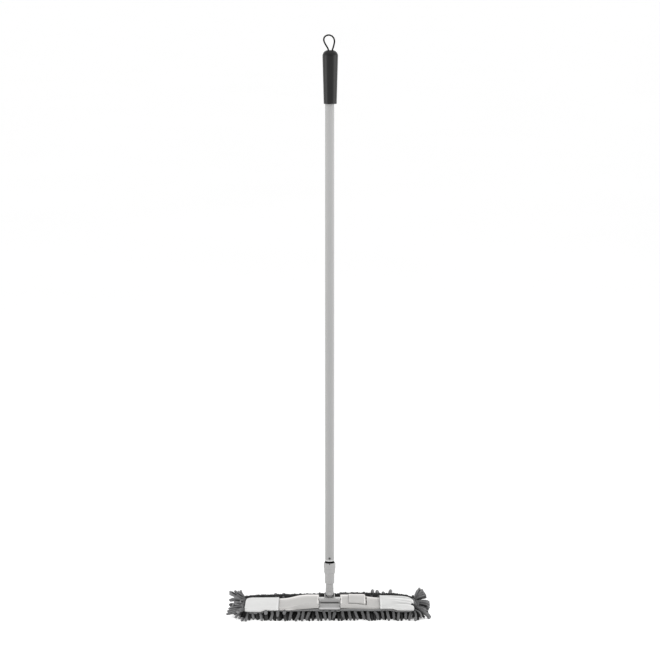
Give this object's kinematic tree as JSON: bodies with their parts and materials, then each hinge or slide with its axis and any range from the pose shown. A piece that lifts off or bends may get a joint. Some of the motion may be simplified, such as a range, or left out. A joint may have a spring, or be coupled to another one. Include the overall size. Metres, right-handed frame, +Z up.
{
  "type": "folding dust mop",
  "caption": "Upright dust mop: grip and tube on a two-way joint, folding wing frame with a foot pedal, cloth pockets and a pad of chenille fingers.",
  "frame": {"origin": "on the floor, under the axis of the upright handle", "axes": "+Z up along the handle, +X along the head towards the pedal, -Y to the front"},
  "size_m": [0.508, 0.128, 1.4293],
  "materials": {
    "tube_paint": "satin light grey paint",
    "grip_plastic": "fine matt grain",
    "cord": "braided",
    "black_plastic": "matt",
    "grey_plastic": "satin moulded",
    "white_plastic": "satin moulded",
    "pin_steel": "drawn",
    "rivet_steel": "blackened",
    "spring_steel": "rolled",
    "pocket_cloth": "plain weave",
    "backing_cloth": "plain weave",
    "chenille": "soft pile"
  },
  "bodies": {
    "bridge": {"centre_bridge": "grey_plastic", "tilt_axle": "pin_steel", "left_hinge_pin": "pin_steel", "right_hinge_pin": "pin_steel", "centre_backing": "backing_cloth", "centre_pile": "chenille"},
    "left_wing_body": {"left_wing": "white_plastic", "click_spring": "spring_steel", "click_spring_screw": "pin_steel", "left_pocket": "pocket_cloth", "left_backing": "backing_cloth", "left_pile": "chenille"},
    "right_wing_body": {"right_wing": "white_plastic", "pedal_pins": "pin_steel", "pedal_spring": "spring_steel", "pedal_spring_screw": "pin_steel", "right_pocket": "pocket_cloth", "right_backing": "backing_cloth", "right_pile": "chenille"},
    "pedal": {"release_pedal": "white_plastic", "latch_spring": "spring_steel", "latch_spring_screw": "pin_steel"},
    "yoke": {"tilt_barrel": "grey_plastic"},
    "handle": {"swivel_socket": "grey_plastic", "swivel_pin": "grey_plastic", "thread_plug": "black_plastic", "plug_rivets": "rivet_steel", "handle_tube": "tube_paint", "handle_grip": "grip_plastic", "hang_loop": "cord", "loop_knot": "cord"}
  },
  "joints": [
    {"name": "handle_tilt", "type": "hinge", "parent": "bridge", "child": "yoke", "pos_m": [0, 0, 0.0336], "axis": [1, 0, 0], "range_deg": [-65, 65]},
    {"name": "handle_swivel", "type": "hinge", "parent": "yoke", "child": "handle", "pos_m": [0, 0, 0.054], "axis": [0, 1, 0], "range_deg": [-45, 45]},
    {"name": "left_fold", "type": "hinge", "parent": "bridge", "child": "left_wing_body", "pos_m": [-0.037, 0, 0.029], "axis": [0, -1, 0], "range_deg": [0, 85], "deforming": ["centre_pile", "centre_backing", "click_spring"]},
    {"name": "right_fold", "type": "hinge", "parent": "bridge", "child": "right_wing_body", "pos_m": [0.037, 0, 0.029], "axis": [0, 1, 0], "range_deg": [0, 85], "deforming": ["centre_pile", "centre_backing", "latch_spring"]},
    {"name": "pedal_press", "type": "hinge", "parent": "right_wing_body", "child": "pedal", "pos_m": [0.0517, 0, 0.0315], "axis": [0, 1, 0], "range_deg": [0, 6], "stiffness_Nm_per_rad": 2, "springref_deg": -5.73, "deforming": ["pedal_spring"]}
  ]
}
